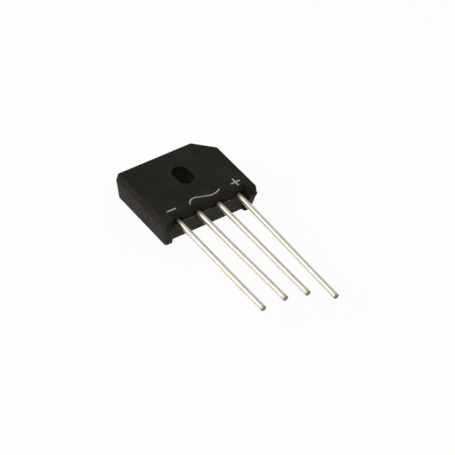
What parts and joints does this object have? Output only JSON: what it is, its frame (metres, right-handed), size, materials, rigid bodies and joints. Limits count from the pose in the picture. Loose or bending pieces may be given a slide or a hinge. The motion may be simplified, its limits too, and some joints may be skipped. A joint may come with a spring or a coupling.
{
  "type": "bridge rectifier",
  "caption": "Flat black moulded single-phase bridge rectifier with a row of round tinned leads, stand-off feet, a screw slot and one cut corner.",
  "frame": {"origin": "middle of the screw slot on the flat back face", "axes": "+X across the case from the negative lead to the positive lead, +Y away from the leads to the rear edge, +Z out of the marked face"},
  "size_m": [0.023, 0.0526, 0.007],
  "materials": {
    "mould_compound": "matte charcoal epoxy moulding compound with a fine grain",
    "tinned_lead": "bright hot-tinned copper wire",
    "copper_strap": "plain rolled copper",
    "silicon_die": "polished silicon",
    "solder": "dull reflowed solder"
  },
  "bodies": {
    "root": {"case": "mould_compound", "lead_negative": "tinned_lead", "lead_ac_1": "tinned_lead", "lead_ac_2": "tinned_lead", "lead_positive": "tinned_lead", "strap_positive": "copper_strap", "strap_negative": "copper_strap", "die_ac_1_positive": "silicon_die", "die_ac_2_positive": "silicon_die", "die_ac_1_negative": "silicon_die", "die_ac_2_negative": "silicon_die", "solder_ac_1_positive_top": "solder", "solder_ac_1_positive_base": "solder", "solder_ac_2_positive_top": "solder", "solder_ac_2_positive_base": "solder", "solder_ac_1_negative_top": "solder", "solder_ac_1_negative_base": "solder", "solder_ac_2_negative_top": "solder", "solder_ac_2_negative_base": "solder", "solder_lead_positive": "solder", "solder_lead_negative": "solder"}
  },
  "joints": []
}
